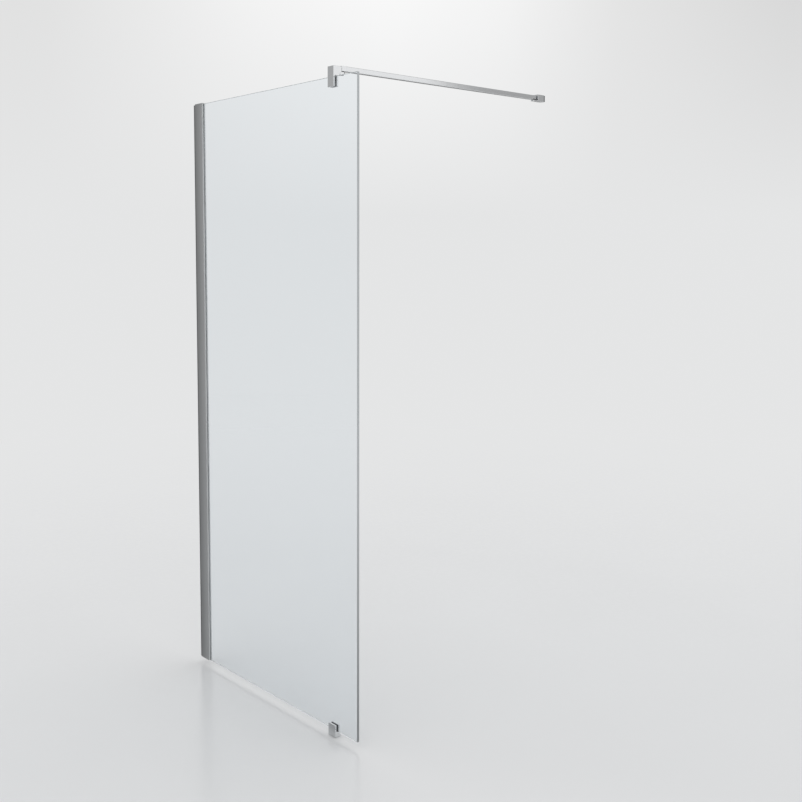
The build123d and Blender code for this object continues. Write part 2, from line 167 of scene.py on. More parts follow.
def carried(axis, corners, radii, rise, marks=None):
    """Rings of one outline carried along an axis, with an inset and a height for each."""
    return [
        place(axis, *outline(corners, radii, inset, marks).T, height) for inset, height in rise
    ]


def full_turn():
    """The angles of the points of a circle."""
    return np.arange(ROUND_POINTS) * 2 * HALF_TURN / ROUND_POINTS


def around(axis, middle, radius, angle, along):
    """Points at a radius and an angle round a middle, in the plane across the axis."""
    return place(axis, middle[0] + radius * np.cos(angle), middle[1] + radius * np.sin(angle), along)


def circle(axis, middle, radius, along):
    """A ring of points at even angles round a middle, in the plane across the axis."""
    return around(axis, middle, radius, full_turn(), along)


def hexagon(axis, middle, corner_radius, along):
    """A ring round a hexagon: its flats lie at the corner radius times the cosine of 30
    degrees, and each point's radius is that over the cosine of its angle from the flat."""
    angle = full_turn()
    sixth = HALF_TURN / 3
    radius = corner_radius * math.cos(sixth / 2) / np.cos(angle % sixth - sixth / 2)
    return around(axis, middle, radius, angle, along)


def thread(axis, middle, radius, start, end):
    """Rings of a screw thread: the radius falls by a triangle wave of the height over the
    pitch less the angle over a full turn, and fades to the core at both ends."""
    angle = full_turn()
    turns = abs(end - start) / THREAD_PITCH
    rings = []
    for height in np.linspace(start, end, max(int(turns * 8), 8) + 1):
        done, left = abs(height - start) / THREAD_PITCH, abs(end - height) / THREAD_PITCH
        phase = (done - angle / (2 * HALF_TURN)) % 1.0
        fade = min(1.0, done, left)
        size = radius - THREAD_DEPTH + THREAD_DEPTH * fade * (1 - np.abs(2 * phase - 1))
        rings.append(around(axis, middle, size, angle, height))
    return rings


def round_to(ring, middle, radius, along, axis="Z"):
    """A circle whose points lie in the same directions from a middle as those of a ring."""
    first, second = {"X": (1, 2), "Z": (0, 1)}[axis]
    away = ring[:, [first, second]] / MM - np.asarray(middle)
    away *= radius / np.linalg.norm(away, axis=1)[:, None]
    return place(axis, middle[0] + away[:, 0], middle[1] + away[:, 1], along)


def tongue(pivot, reach, half_width, radius, inset):
    """A flat-sided tongue, seen from above, as a distance from the pivot by direction.

    The distance is half width over sine at most, which gives two straight sides. Towards
    x = reach it is also reach over cosine at most, a flat end, and away from it the radius.
    """
    far = abs(reach - pivot)
    corner, side = math.atan2(half_width, far), HALF_TURN - math.asin(half_width / radius)
    turns = [(-corner, corner, 6), (corner, side, 8), (side, 2 * HALF_TURN - side, 20),
             (2 * HALF_TURN - side, 2 * HALF_TURN - corner, 8)]
    angle = np.concatenate([np.linspace(low, high, steps + 1)[:-1] for low, high, steps in turns])
    sine, cosine = np.sin(angle), np.cos(angle)
    across = (half_width - inset) / np.maximum(np.abs(sine), 1e-6)
    along = np.where(cosine > 1e-6, far / np.maximum(cosine, 1e-6), radius - inset)
    away = np.minimum(across, along)
    way = math.copysign(1.0, reach - pivot)
    return np.column_stack([pivot + way * away * cosine, GRIP_Y + away * sine])


def joined(loops):
    """Quads between loops of point numbers that have the same length."""
    loops = np.asarray(loops)
    following = np.roll(loops, -1, axis=1)
    return np.stack([loops[:-1], loops[1:], following[1:], following[:-1]], axis=-1).reshape(-1, 4)


def skin(rings, closed=False, bores=()):
    """A closed skin over rings of points, whose first and last rings get a flat face, or are
    joined to each other when closed.

    A bore is a round hole between two flat squares of cells: (start, end, radius, half). The
    cells within half of its middle go at both ends, and the loops round them are joined by
    circles whose points lie in the same directions from the bore's middle.
    """
    grid = np.array(rings)
    rows, cols = grid.shape[:2]
    index = np.arange(rows * cols).reshape(rows, cols)
    cells = np.ones((rows if closed else rows - 1, cols), bool)
    points, faces = [grid.reshape(-1, 3)], []
    count = rows * cols
    for start, end, radius, half in bores:
        start, end = np.asarray(start) * MM, np.asarray(end) * MM
        inward = (end - start) / np.linalg.norm(end - start)
        across = np.where(np.abs(inward) > 0.5, 2 * SLACK, half + SLACK) * MM
        loops, ways = [], []
        for middle in (start, end):
            inside = (np.abs(grid - middle) <= across).all(-1)
            row, col = np.flatnonzero(inside.any(1)), np.flatnonzero(inside.any(0))
            r0, r1, c0, c1 = row[0], row[-1], col[0], col[-1]
            cells[r0:r1, c0:c1] = False
            loop = np.concatenate([
                index[r0, c0:c1], index[r0:r1, c1], index[r1, c1:c0:-1], index[r1:r0:-1, c0]
            ])
            away = points[0][loop] - middle
            ways.append(away / np.linalg.norm(away, axis=1)[:, None])
            loops.append(loop)
        match = np.argmax(ways[0] @ ways[1].T, axis=1)
        edge = BORE_EDGE * MM
        circles = [
            start + ways[0] * (radius * MM + edge),
            start + ways[0] * radius * MM + inward * edge,
            end + ways[0] * radius * MM - inward * edge,
            end + ways[0] * (radius * MM + edge),
        ]
        numbers = [loops[0]]
        for ring in circles:
            numbers.append(count + np.arange(len(ring)))
            points.append(ring)
            count += len(ring)
        faces.append(joined(numbers + [loops[1][match]]))
    row, col = np.nonzero(cells)
    below, beside = (row + 1) % rows, (col + 1) % cols
    faces.append(np.stack([
        index[row, col], index[below, col], index[below, beside], index[row, beside]
    ], axis=-1))
    faces = [face for group in faces for face in group.tolist()]
    if not closed:
        faces += [index[0].tolist(), index[-1].tolist()]
    return np.concatenate(points), faces


def make_piece(name, skins, nodes, finish=None):
    """One object from closed skins, with faces turned outwards and evenly shaded flats. It
    rides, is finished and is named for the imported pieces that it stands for."""
    points, faces, count = [], [], 0
    for skin_points, skin_faces in skins:
        points.append(skin_points)
        faces += [[corner + count for corner in face] for face in skin_faces]
        count += len(skin_points)
    mesh = bpy.data.meshes.new(name)
    mesh.from_pydata(np.concatenate(points).tolist(), [], faces)
    work = bmesh.new()
    work.from_mesh(mesh)
    bmesh.ops.recalc_face_normals(work, faces=work.faces)
    work.to_mesh(mesh)
    work.free()
    mesh.shade_smooth()
    mesh.set_sharp_from_angle(angle=SHARP_ANGLE)
    slot = PIECE_SLOT[nodes[0]]
    mesh.materials.append(finish or FINISHES[slot])
    piece = bpy.data.objects.new(name, mesh)
    bpy.context.scene.collection.objects.link(piece)
    even = piece.modifiers.new("even_flats", "WEIGHTED_NORMAL")
    even.keep_sharp = True
    even.weight = FLAT_WEIGHT
    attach(piece, PIECE_BODY[nodes[0]])
    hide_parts(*nodes)
    return piece


# Node helpers

def new_material(name):
    """A material with an empty tree, and its output node."""
    material = bpy.data.materials.new(name)
    material.use_nodes = True
    tree = material.node_tree
    tree.nodes.clear()
    return material, tree, tree.nodes.new("ShaderNodeOutputMaterial")


def add_node(tree, kind, links=None, operation=None):
    """A node whose inputs are linked from sockets, with its operation where it has one."""
    node = tree.nodes.new(kind)
    if operation:
        node.operation = operation
    for key, socket in (links or {}).items():
        tree.links.new(socket, node.inputs[key])
    return node


def object_place(tree, scale=(1.0, 1.0, 1.0)):
    """Object coordinates, stretched by a scale along each axis."""
    place = add_node(tree, "ShaderNodeTexCoord")
    mapping = add_node(tree, "ShaderNodeMapping", {"Vector": place.outputs["Object"]})
    mapping.inputs["Scale"].default_value = scale
    return mapping.outputs["Vector"]


def noise(tree, vector, scale, detail=3.0):
    """Soft noise from 0 to 1 at a scale in waves per metre."""
    node = add_node(tree, "ShaderNodeTexNoise", {"Vector": vector})
    node.inputs["Scale"].default_value = scale
    node.inputs["Detail"].default_value = detail
    return node.outputs["Fac"]


def along_axis(tree, vector, axis):
    """One of the three coordinates of a place or a direction."""
    return add_node(tree, "ShaderNodeSeparateXYZ", {"Vector": vector}).outputs[axis]


def spread(tree, socket, low, high, start=0.3, end=0.7):
    """Turns a value between start and end into one between low and high."""
    node = add_node(tree, "ShaderNodeMapRange", {"Value": socket})
    node.inputs["From Min"].default_value = start
    node.inputs["From Max"].default_value = end
    node.inputs["To Min"].default_value = low
    node.inputs["To Max"].default_value = high
    return node.outputs["Result"]


def blend_colours(tree, factor, first, second):
    """A colour between two colours, by a factor from 0 to 1."""
    node = tree.nodes.new("ShaderNodeMix")
    node.data_type = "RGBA"
    tree.links.new(factor, node.inputs["Factor"])
    for socket, colour in ((node.inputs[6], first), (node.inputs[7], second)):
        if hasattr(colour, "links"):
            tree.links.new(colour, socket)
        else:
            socket.default_value = (*colour, 1.0)
    return node.outputs[2]


def bump(tree, height, strength, distance):
    """A normal from a height, in metres."""
    node = add_node(tree, "ShaderNodeBump", {"Height": height})
    node.inputs["Strength"].default_value = strength
    node.inputs["Distance"].default_value = distance
    return node.outputs["Normal"]


def finish_material(tree, output, links, **values):
    """The main shader, with fixed values on its own sockets and patterns linked."""
    shader = tree.nodes.new("ShaderNodeBsdfPrincipled")
    for key, value in values.items():
        shader.inputs[key.replace("_", " ")].default_value = value
    for key, socket in links.items():
        tree.links.new(socket, shader.inputs[key])
    tree.links.new(shader.outputs[0], output.inputs["Surface"])
    return shader


def blend_shaders(tree, output, factor, first, second):
    """The surface between two shaders, by a factor from 0 to 1."""
    mix = tree.nodes.new("ShaderNodeMixShader")
    tree.links.new(factor, mix.inputs[0])
    tree.links.new(first.outputs[0], mix.inputs[1])
    tree.links.new(second.outputs[0], mix.inputs[2])
    tree.links.new(mix.outputs[0], output.inputs["Surface"])


# Finishes

def chrome_plate():
    """Bright chrome plating: mirror-like, with a faint polished unevenness."""
    material, tree, output = new_material("chrome_plate")
    place = object_place(tree)
    cloud = noise(tree, place, 60.0)
    fine = noise(tree, place, 900.0, 2.0)
    finish_material(tree, output, {
        "Base Color": blend_colours(tree, cloud, (0.66, 0.67, 0.68), (0.70, 0.71, 0.72)),
        "Roughness": spread(tree, fine, 0.05, 0.10),
        "Normal": bump(tree, cloud, 0.15, 0.0002),
    }, Metallic=1.0)
    return material


def anodised_aluminium():
    """Satin anodised aluminium with the fine lines of the extrusion along Z, with painted shade
    that makes it a little darker towards the wall."""
    material, tree, output = new_material("anodised_aluminium")
    lines = noise(tree, object_place(tree, (1.0, 1.0, 0.004)), 2600.0, 2.0)
    cloud = noise(tree, object_place(tree, (1.0, 1.0, 0.2)), 30.0)
    depth = along_axis(tree, object_place(tree), "Y")
    toned = blend_colours(tree, lines, (0.46, 0.47, 0.475), (0.53, 0.54, 0.545))
    # Painted shade: the colour darkens from Y = -50 mm towards the wall at Y = -5 mm, standing in for
    # the shade the wall casts.
    front = spread(tree, depth, 1.0, 0.0, -0.050, -0.005)
    shade = blend_colours(tree, front, (0.27, 0.275, 0.28), toned)
    finish_material(tree, output, {
        "Base Color": blend_colours(tree, spread(tree, cloud, 0.0, 0.25), shade, (0.45, 0.46, 0.465)),
        "Roughness": spread(tree, lines, 0.30, 0.40),
        "Normal": bump(tree, lines, 0.20, 0.00005),
    }, Metallic=1.0)
    return material


def mill_aluminium():
    """Plain extruded aluminium with lines along Z, and painted shade that makes it darker than the
    anodised parts.
    """
    material, tree, output = new_material("mill_aluminium")
    lines = noise(tree, object_place(tree, (1.0, 1.0, 0.004)), 2200.0, 2.0)
    finish_material(tree, output, {
        # Painted shade: these dark tones stand in for the shade that the wall casts on this part.
        "Base Color": blend_colours(tree, lines, (0.20, 0.203, 0.206), (0.26, 0.263, 0.266)),
        "Roughness": spread(tree, lines, 0.40, 0.52),
        "Normal": bump(tree, lines, 0.25, 0.00005),
    }, Metallic=1.0)
    return material


def clear_glass():
    """Clear toughened glass with a faint cool tint and the slight waves of its furnace."""
    material, tree, output = new_material("clear_glass")
    waves = noise(tree, object_place(tree, (1.0, 0.4, 1.0)), 6.0, 1.0)
    shader = finish_material(tree, output, {
        "Base Color": blend_colours(tree, waves, (0.925, 0.955, 0.975), (0.935, 0.963, 0.982)),
        "Normal": bump(tree, waves, 0.10, 0.0004),
    }, Transmission_Weight=1.0, Roughness=0.0, IOR=1.5)
    let_light_through(tree, output, shader, (0.93, 0.96, 0.98, 1.0))
    return material


def let_light_through(tree, output, shader, tint):
    """Light shines through the glass with its tint, as it does through a real sheet."""
    path = tree.nodes.new("ShaderNodeLightPath")
    clear = tree.nodes.new("ShaderNodeBsdfTransparent")
    clear.inputs["Color"].default_value = tint
    blend_shaders(tree, output, path.outputs["Is Shadow Ray"], shader, clear)


def ground_edge():
    """The polished edge of the glass, greyer than its face, with painted shade that darkens it near
    the floor.
    """
    material, tree, output = new_material("ground_edge")
    lines = noise(tree, object_place(tree, (1.0, 0.02, 0.02)), 4000.0, 2.0)
    height = along_axis(tree, object_place(tree), "Z")
    # Painted shade: the edge darkens towards its lower end, from 0.75 m down to 0.05 m.
    shade = blend_colours(
        tree, spread(tree, height, 0.0, 1.0, 0.05, 0.75), (0.21, 0.22, 0.225), (0.49, 0.51, 0.52)
    )
    finish_material(tree, output, {
        "Base Color": blend_colours(tree, spread(tree, lines, 0.0, 0.3), shade, (0.42, 0.44, 0.45)),
        "Roughness": spread(tree, lines, 0.25, 0.40),
    }, IOR=1.5)
    return material


def frosted_edge():
    """The ground top edge of the glass, pale and matt with fine lines."""
    material, tree, output = new_material("frosted_edge")
    lines = noise(tree, object_place(tree, (0.02, 0.02, 1.0)), 4000.0, 2.0)
    finish_material(tree, output, {
        "Base Color": blend_colours(tree, lines, (0.76, 0.80, 0.80), (0.84, 0.87, 0.87)),
        "Roughness": spread(tree, lines, 0.40, 0.55),
    }, IOR=1.5)
    return material


def rubber_pad(name, dark, light):
    """Rubber with a fine matt grain, in two shades."""
    material, tree, output = new_material(name)
    grain = noise(tree, object_place(tree), 2500.0, 2.0)
    finish_material(tree, output, {
        "Base Color": blend_colours(tree, grain, dark, light),
        "Roughness": spread(tree, grain, 0.60, 0.80),
        "Normal": bump(tree, grain, 0.25, 0.0001),
    })
    return material


def soft_seal():
    """Pale translucent gasket with long faint lines from its extrusion."""
    material, tree, output = new_material("soft_seal")
    lines = noise(tree, object_place(tree, (1.0, 1.0, 0.01)), 1800.0, 2.0)
    finish_material(tree, output, {
        "Base Color": blend_colours(tree, lines, (0.66, 0.67, 0.67), (0.74, 0.75, 0.75)),
        "Roughness": spread(tree, lines, 0.38, 0.50),
        "Normal": bump(tree, lines, 0.15, 0.00005),
    }, IOR=1.45)
    return material


def moulded_plastic(name, dark, light, low, high):
    """Moulded plastic with a fine grain: two shades and two roughnesses."""
    material, tree, output = new_material(name)
    grain = noise(tree, object_place(tree), 1800.0, 3.0)
    finish_material(tree, output, {
        "Base Color": blend_colours(tree, grain, dark, light),
        "Roughness": spread(tree, grain, low, high),
        "Normal": bump(tree, grain, 0.20, 0.00008),
    }, IOR=1.46)
    return material


def zinc_steel():
    """Plated steel of screws, nuts and plates, with fine turning marks."""
    material, tree, output = new_material("zinc_steel")
    marks = noise(tree, object_place(tree), 2200.0, 3.0)
    finish_material(tree, output, {
        "Base Color": blend_colours(tree, marks, (0.46, 0.46, 0.47), (0.62, 0.62, 0.63)),
        "Roughness": spread(tree, marks, 0.22, 0.38),
        "Normal": bump(tree, marks, 0.20, 0.00005),
    }, Metallic=1.0)
    return material


GREY = ((0.30, 0.305, 0.31), (0.37, 0.375, 0.38))
PLASTICS = {
    "dark_plastic": ((0.14, 0.143, 0.147), (0.18, 0.184, 0.188), 0.38, 0.50),
    "grey_plastic": (*GREY, 0.38, 0.50),
    "white_plastic": ((0.72, 0.72, 0.71), (0.80, 0.80, 0.79), 0.40, 0.52),
    "black_plastic": ((0.015, 0.015, 0.016), (0.035, 0.035, 0.037), 0.35, 0.48),
}
FINISHES = {
    "chrome": chrome_plate(),
    "aluminium": anodised_aluminium(),
    "glass": clear_glass(),
    "free_edge": ground_edge(),
    "top_edge": frosted_edge(),
    "pad": rubber_pad("dark_pad", (0.055, 0.055, 0.057), (0.085, 0.085, 0.088)),
    "pale_pad": rubber_pad("pale_pad", *GREY),
    "seal": soft_seal(),
    "mill_aluminium": mill_aluminium(),
    **{name: moulded_plastic(name, *shades) for name, shades in PLASTICS.items()},
    "steel": zinc_steel(),
}


def dress_nodes():
    """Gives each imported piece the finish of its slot."""
    for node in frame["nodes"].values():
        for slot in node.material_slots:
            slot.material = FINISHES[slot.material.name.split(".")[0]]


# Floor, backdrop and light

FLOOR_HEIGHT = -20 * MM
FLOOR_RADIUS = 8.0
FLOOR_MIDDLE = (0.3, -0.5)
FLOOR_FADE = (1.6, 5.5)  # distances from its middle between which the floor fades away
FLOOR_POINTS = 96
FLOOR_RINGS = 24
BACKDROP = (0.780, 0.785, 0.788)


def add_floor():
    """A round pale floor: rings of points about its middle, joined by quads."""
    radius = np.linspace(0.0, 1.0, FLOOR_RINGS + 1)[1:] ** 1.6 * FLOOR_RADIUS
    angle = np.arange(FLOOR_POINTS) * 2 * np.pi / FLOOR_POINTS
    x = FLOOR_MIDDLE[0] + np.outer(radius, np.cos(angle)).ravel()
    y = FLOOR_MIDDLE[1] + np.outer(radius, np.sin(angle)).ravel()
    points = np.column_stack([x, y, np.full(x.size, FLOOR_HEIGHT)])
    loops = np.arange(FLOOR_RINGS * FLOOR_POINTS).reshape(FLOOR_RINGS, FLOOR_POINTS)
    faces = [loops[0].tolist()] + joined(loops).tolist()
    mesh = bpy.data.meshes.new("floor")
    mesh.from_pydata(points.tolist(), [], faces)
    floor = bpy.data.objects.new("floor", mesh)
    bpy.context.scene.collection.objects.link(floor)
    mesh.materials.append(floor_finish())


def floor_finish():
    """Pale semi-gloss floor that fades into the backdrop a few metres out, with a painted reflection
    that shiny faces see: darker on its -X side.
    """
    material, tree, output = new_material("floor_finish")
    place = add_node(tree, "ShaderNodeTexCoord").outputs["Object"]
    cloud = noise(tree, place, 1.2, 2.0)
    shade = blend_colours(tree, cloud, (0.740, 0.745, 0.750), (0.770, 0.775, 0.780))
    apart = add_node(tree, "ShaderNodeVectorMath", {0: place}, "DISTANCE")
    apart.inputs[1].default_value = (*FLOOR_MIDDLE, FLOOR_HEIGHT)
    # Painted reflection: shiny faces see this floor at 0.50 on its -X side and at 0.84 beyond X = 0,
    # standing in for a room that is darker on the left.
    across = along_axis(tree, place, "X")
    inside = spread(tree, across, 0.0, 1.0, -0.05, 0.0)
    painted_reflection = blend_colours(tree, inside, (0.50, 0.505, 0.51), (0.84, 0.845, 0.85))
    shader = finish_material(tree, output, {
        "Base Color": blend_colours(tree, mirrored_rays(tree), shade, painted_reflection),
        "Roughness": spread(tree, noise(tree, place, 40.0), 0.16, 0.24),
    }, IOR=1.5)
    fade = spread(tree, apart.outputs["Value"], 0.0, 1.0, *FLOOR_FADE)
    glow = tree.nodes.new("ShaderNodeEmission")
    glow.inputs["Color"].default_value = (*BACKDROP, 1.0)
    glow.inputs["Strength"].default_value = 1.0
    amount = add_node(tree, "ShaderNodeMath", {0: fade, 1: seen_rays(tree)}, "MULTIPLY")
    blend_shaders(tree, output, amount.outputs[0], shader, glow)
    return material


def seen_rays(tree):
    """1 for rays from the camera and through glass, and 0 for all others."""
    path = tree.nodes.new("ShaderNodeLightPath")
    return add_node(tree, "ShaderNodeMath", {
        0: path.outputs["Is Camera Ray"], 1: path.outputs["Is Transmission Ray"]
    }, "MAXIMUM").outputs[0]


def mirrored_rays(tree):
    """1 for rays that left a shiny face, and 0 for those that went through glass."""
    path = tree.nodes.new("ShaderNodeLightPath")
    return add_node(tree, "ShaderNodeMath", {
        0: path.outputs["Is Glossy Ray"], 1: path.outputs["Is Transmission Ray"]
    }, "GREATER_THAN").outputs[0]


# How bright the studio looks in a mirror, by the direction's turn from +X in degrees
STUDIO = [
    (-180, 0.53), (-150, 0.60), (-135, 1.10), (-47.8, 1.10), (-45.8, 0.50), (0, 0.50),
    (20, 0.90), (90, 0.90), (110, 0.53), (180, 0.53),
]


# How bright the upper backdrop is, by the direction's turn from +X in degrees
BACKDROP_TOP = [
    (-180, 0.84), (10, 0.80), (29, 0.68), (38, 0.78), (44, 0.91), (50, 0.95), (57, 0.90),
    (68, 0.75), (90, 0.80), (180, 0.84),
]


BACKDROP_RISE = (0.04, 0.24)  # Z of the directions between which the backdrop changes
STUDIO_FOOT = (-0.15, -0.125)  # the same for the studio's lower end
STUDIO_BELOW = (0.20, 0.20, 0.20)
ROOM_LIGHT = (0.92, 0.925, 0.93)


def brightness_by_turn(tree, turn, table):
    """A grey that follows a table of directions and values."""
    ramp = add_node(tree, "ShaderNodeValToRGB", {"Fac": spread(tree, turn, 0, 1, -math.pi, math.pi)})
    stops = ramp.color_ramp.elements
    for number, (degrees, value) in enumerate(table):
        if number > 1:
            stops.new(1.0)
        stops[number].position = (degrees + 180) / 360
        stops[number].color = (value, value, value, 1.0)
    return ramp.outputs["Color"]


def add_world():
    """Soft light from all round, a pale backdrop, and a studio of soft boxes in mirrors."""
    world = bpy.data.worlds.new("studio")
    bpy.context.scene.world = world
    world.use_nodes = True
    tree = world.node_tree
    tree.nodes.clear()
    output = tree.nodes.new("ShaderNodeOutputWorld")
    direction = add_node(tree, "ShaderNodeTexCoord").outputs["Generated"]
    ahead, beside = along_axis(tree, direction, "X"), along_axis(tree, direction, "Y")
    turn = add_node(tree, "ShaderNodeMath", {0: beside, 1: ahead}, "ARCTAN2").outputs[0]
    rise = along_axis(tree, direction, "Z")
    lift = spread(tree, rise, 0.0, 1.0, *BACKDROP_RISE)
    pale = blend_colours(tree, lift, BACKDROP, brightness_by_turn(tree, turn, BACKDROP_TOP))
    seen = blend_colours(tree, seen_rays(tree), ROOM_LIGHT, pale)
    under = spread(tree, rise, 1.0, 0.0, *STUDIO_FOOT)
    studio = blend_colours(tree, under, brightness_by_turn(tree, turn, STUDIO), STUDIO_BELOW)
    light = blend_colours(tree, mirrored_rays(tree), seen, studio)
    shade = tree.nodes.new("ShaderNodeBackground")
    tree.links.new(light, shade.inputs["Color"])
    tree.links.new(shade.outputs[0], output.inputs["Surface"])


# Sizes of the pieces, in millimetres. X is zero on the middle plane of the glass, Y on the
# wall that carries it, and Z at its lower edge.

GLASS_TOP = 1950.0
GLASS_HALF = 4.0
FREE_EDGE = -900.0
EDGE_REACH = 0.9  # the faces of an edge, with its arris, lie within this of it
LOCK_HEIGHTS = (150.0, 975.0, 1800.0)
LOCK_Y = -14.5

# The clamp and the foot, which grip the glass between two legs
GRIP_Y = -785.0
CLAMP_HALF = 14.0
FOOT_HALF = 17.0
LEG_FACE = 11.0  # outer faces of both legs
SLOT_BACK = -5.5
SLOT_FRONT = 6.5
PAD_FRONT = 5.5
CLAMP_BOTTOM = 1920.0
CLAMP_SLOT_TOP = 1951.5
CLAMP_TOP = 1979.0
HEAD_FACE = 19.0  # the clamp's face at the swivel
FOOT_BOTTOM = -19.0
FOOT_SLOT_BOTTOM = -1.5
FOOT_TOP = 19.0
CLAMP_SPREAD = 7.0  # from their middle to each set screw
CLAMP_SCREW_HEIGHT = 1935.0
FOOT_SPREAD = 9.0
FOOT_SCREW_HEIGHT = 10.0

# The support bar and its two swivels
BAR_AXIS = 1975.0
BAR_HALF = 7.5
BAR_WALL = 1.2
BAR_START = 43.0
BAR_END = 840.0
BAR_SCREWS = (54.0, 829.0)
GLASS_SWIVEL = 31.0
WALL_SWIVEL = 852.0
EYE_RADIUS = 9.0
EYE_EDGE = 0.5
SHOULDER_REACH = 10.0  # from a swivel's axis to the bar's square shoulder
GLASS_EYE_FLOOR = 1967.5
WALL_EYE_FLOOR = 1970.25
GLASS_EYE_TOP = 1965.0
WALL_EYE_TOP = 1967.25
BRACKET_BOTTOM = 1963.5
BRACKET_SCREW = 887.25
WALL_FACE = 900.0

# Screws: radii, and half the side of the cells that a bore takes out of a skin
SCREW_RADIUS = 2.5
SCREW_CELLS = 4.5
SMALL_SCREW_RADIUS = 2.0
SMALL_SCREW_CELLS = 3.2
HEAD_RADIUS = 4.0
SOCKET_DEPTH = 1.5
SOCKET_EDGE = 0.15

HOLE_ROOM = 0.02
RUNNING_ROOM = 0.06
CONTACT = 0.02  # keeps two faces that touch from coinciding


def even_marks(middle, half):
    """Seven even places, three on each side of a middle."""
    return np.linspace(middle - half, middle + half, 7)


def side_marks(width, height):
    """Places along the four sides of a rectangle, for rings that go on to a circle."""
    return {side: np.linspace(0.15, 0.85, 7) * (width, height)[side % 2] for side in range(4)}


def add_glass():
    """The sheet: a rectangle with small round corners, carried through its thickness, with
    a ground arris round both faces. Its free edge is grey and its top edge is pale."""
    corners = [(FREE_EDGE, 0), (-42, 0), (-42, GLASS_TOP), (FREE_EDGE, GLASS_TOP)]
    rings = carried("X", corners, 1.2, rounded_rise(-GLASS_HALF, GLASS_HALF, 0.8, steps=2))
    sheet = make_piece("glass_sheet", [skin(rings)], ["glass_panel"])
    sheet.data.materials.append(FINISHES["free_edge"])
    sheet.data.materials.append(FINISHES["top_edge"])
    centres = np.zeros(3 * len(sheet.data.polygons))
    sheet.data.polygons.foreach_get("center", centres)
    free = centres[1::3] < (FREE_EDGE + EDGE_REACH) * MM
    top = centres[2::3] > (GLASS_TOP - EDGE_REACH) * MM
    kinds = np.where(free, 1, np.where(top, 2, 0))
    sheet.data.polygons.foreach_set("material_index", kinds.astype(np.int32))


def add_profile():
    """The H section that holds the glass, its cap, and the two gaskets."""
    section = [
        (-9, -56), (-6.2, -56), (-6.2, -54.8), (-7.4, -54.8), (-7.4, -40), (7.4, -40),
        (7.4, -54.8), (6.2, -54.8), (6.2, -56), (9, -56), (9, -10), (7.4, -10),
        (7.4, -38.4), (-7.4, -38.4), (-7.4, -10), (-9, -10),
    ]
    radii = [1.0, 0.3, 0.3, 0.2, 0.2, 0.2, 0.2, 0.3, 0.3, 1.0, 1.0, 0.3, 0.2, 0.2, 0.3, 1.0]
    rings = carried("Z", section, radii, rounded_rise(0, GLASS_TOP, 0.2, steps=2))
    make_piece("wall_profile", [skin(rings)], ["glass_profile"])
    plan = rectangle((0, -33), (18, 46))
    lid = carried("Z", plan, 1.0, [(0.0, GLASS_TOP)] + rounded_rise(GLASS_TOP, 1952, 0.6)[4:])
    stem = carried("Z", rectangle((0, -34.9), (9, 7)), 0.8, rounded_rise(1940, 1950.4, 0.4))
    make_piece("profile_lid", [skin(lid), skin(stem)], ["profile_cap"])
    for side, name in ((-1, "outer"), (1, "inner")):
        face = GLASS_HALF + CONTACT
        lip = [
            (face, -43), (face, -57.2), (4.8, -57.2), (6.1, -56), (6.1, -54.7), (7.3, -54.7),
            (7.3, -43),
        ]
        lip = [(side * x, y) for x, y in lip]
        rings = carried("Z", lip, [0.3, 0.2, 0.4, 0.3, 0.1, 0.3, 0.3], [(0, 0), (0, GLASS_TOP)])
        make_piece(f"{name}_gasket", [skin(rings)], [f"{name}_glazing_seal"])


def add_lock_caps():
    """Crowned snap caps over the locking screws: a wall, a rounded rim and a low dome."""
    skins = []
    rim = np.linspace(0, HALF_TURN / 2, 5)
    line = [(3.7, 11.2), (3.7, 9.0), (5.5, 9.0)]
    line += list(zip(4.9 + 0.6 * np.cos(rim), 11.15 + 0.6 * np.sin(rim)))
    line += [(radius, 12.0 - 0.25 * (radius / 4.9) ** 2) for radius in (3.6, 2.2, 0.8)]
    for height in LOCK_HEIGHTS:
        skins.append(skin([circle("X", (LOCK_Y, height), radius, x) for radius, x in line]))
    make_piece("lock_caps", skins, ["lock_screw_caps"])


def set_screw(axis, middle, radius, start, end):
    """A threaded set screw: socket, chamfered rim, thread and chamfered tip."""
    way = math.copysign(1.0, end - start)
    socket = radius * 0.5
    rings = [
        hexagon(axis, middle, socket, start + way * SOCKET_DEPTH),
        hexagon(axis, middle, socket, start + way * SOCKET_EDGE),
        circle(axis, middle, socket * 1.12, start),
        circle(axis, middle, radius - 0.55, start),
    ]
    rings += thread(axis, middle, radius, start + way * 0.3, end - way * 0.4)
    rings.append(circle(axis, middle, radius - 0.8, end))
    return skin(rings)


def add_set_screws():
    """The set screws of the clamp and the foot, which press on the plates from the shower
    side, and those in the underside of the bar and the bracket."""
    for name, apart, height in (
        ("clamp", CLAMP_SPREAD, CLAMP_SCREW_HEIGHT),
        ("foot", FOOT_SPREAD, FOOT_SCREW_HEIGHT),
    ):
        places = [(GRIP_Y - apart, height), (GRIP_Y + apart, height)]
        screws = [set_screw("X", middle, SCREW_RADIUS, 10.7, 6.55) for middle in places]
        make_piece(f"{name}_screws", screws, [f"{name}_set_screws"])
    screws = [set_screw("Z", (x, GRIP_Y), SMALL_SCREW_RADIUS, 1967.8, 1971.95) for x in BAR_SCREWS]
    make_piece("bar_screws", screws, ["bar_set_screws"])
    screw = set_screw("Z", (BRACKET_SCREW, GRIP_Y), SMALL_SCREW_RADIUS, 1963.8, 1967.65)
    make_piece("bracket_screw", [screw], ["bracket_set_screw"])


def tongue_rings(pivot, reach, half_width, radius, rise, inset=0.0):
    """A tongue carried upwards, with an inset and a height for each ring."""
    return [
        place("Z", *tongue(pivot, reach, half_width, radius, inset + more).T, height)
        for more, height in rise
    ]


def eye_bore(rings, pivot, line):
    """Circles about a swivel's axis, with a radius and a height for each, that match rings."""
    return [round_to(rings[0], (pivot, GRIP_Y), radius, height) for radius, height in line]


